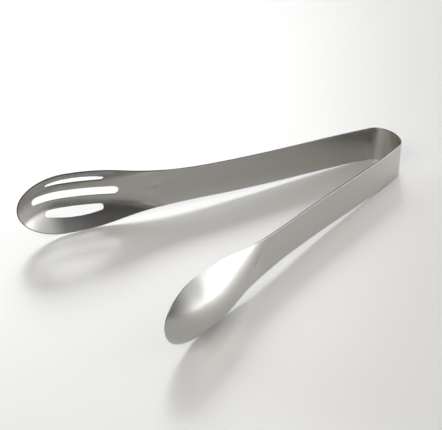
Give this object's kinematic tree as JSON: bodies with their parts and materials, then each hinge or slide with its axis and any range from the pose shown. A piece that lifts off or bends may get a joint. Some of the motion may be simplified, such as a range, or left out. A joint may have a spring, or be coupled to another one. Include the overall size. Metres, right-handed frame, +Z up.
{
  "type": "kitchen tweezers",
  "caption": "Spring tweezers for lifting and serving food: sheet steel arms sprung from a U-shaped bow end in facing bowl-shaped blades, of which the far blade is slotted to drain.",
  "frame": {"origin": "on the table, midway between the arms and midway along the length, with the tweezers resting open on the bow and both blades", "axes": "+X towards the bow, +Y towards the slotted arm, +Z up"},
  "size_m": [0.207, 0.1366, 0.0377],
  "materials": {
    "satin_steel": "satin"
  },
  "bodies": {
    "bow": {"spring_bow": "satin_steel"},
    "slotted_side": {"slotted_arm": "satin_steel", "slotted_blade": "satin_steel"},
    "plain_side": {"plain_arm": "satin_steel", "plain_blade": "satin_steel"}
  },
  "joints": [
    {"name": "slotted_side_squeeze", "type": "hinge", "parent": "bow", "child": "slotted_side", "pos_m": [0.09561, 0.01183, 0.01046], "axis": [0.0551, 0, 0.9985], "range_deg": [0, 17.7], "stiffness_Nm_per_rad": 6.6},
    {"name": "plain_side_squeeze", "type": "hinge", "parent": "bow", "child": "plain_side", "pos_m": [0.09561, -0.01183, 0.01046], "axis": [-0.0551, 0, -0.9985], "range_deg": [0, 17.7], "stiffness_Nm_per_rad": 6.6}
  ]
}
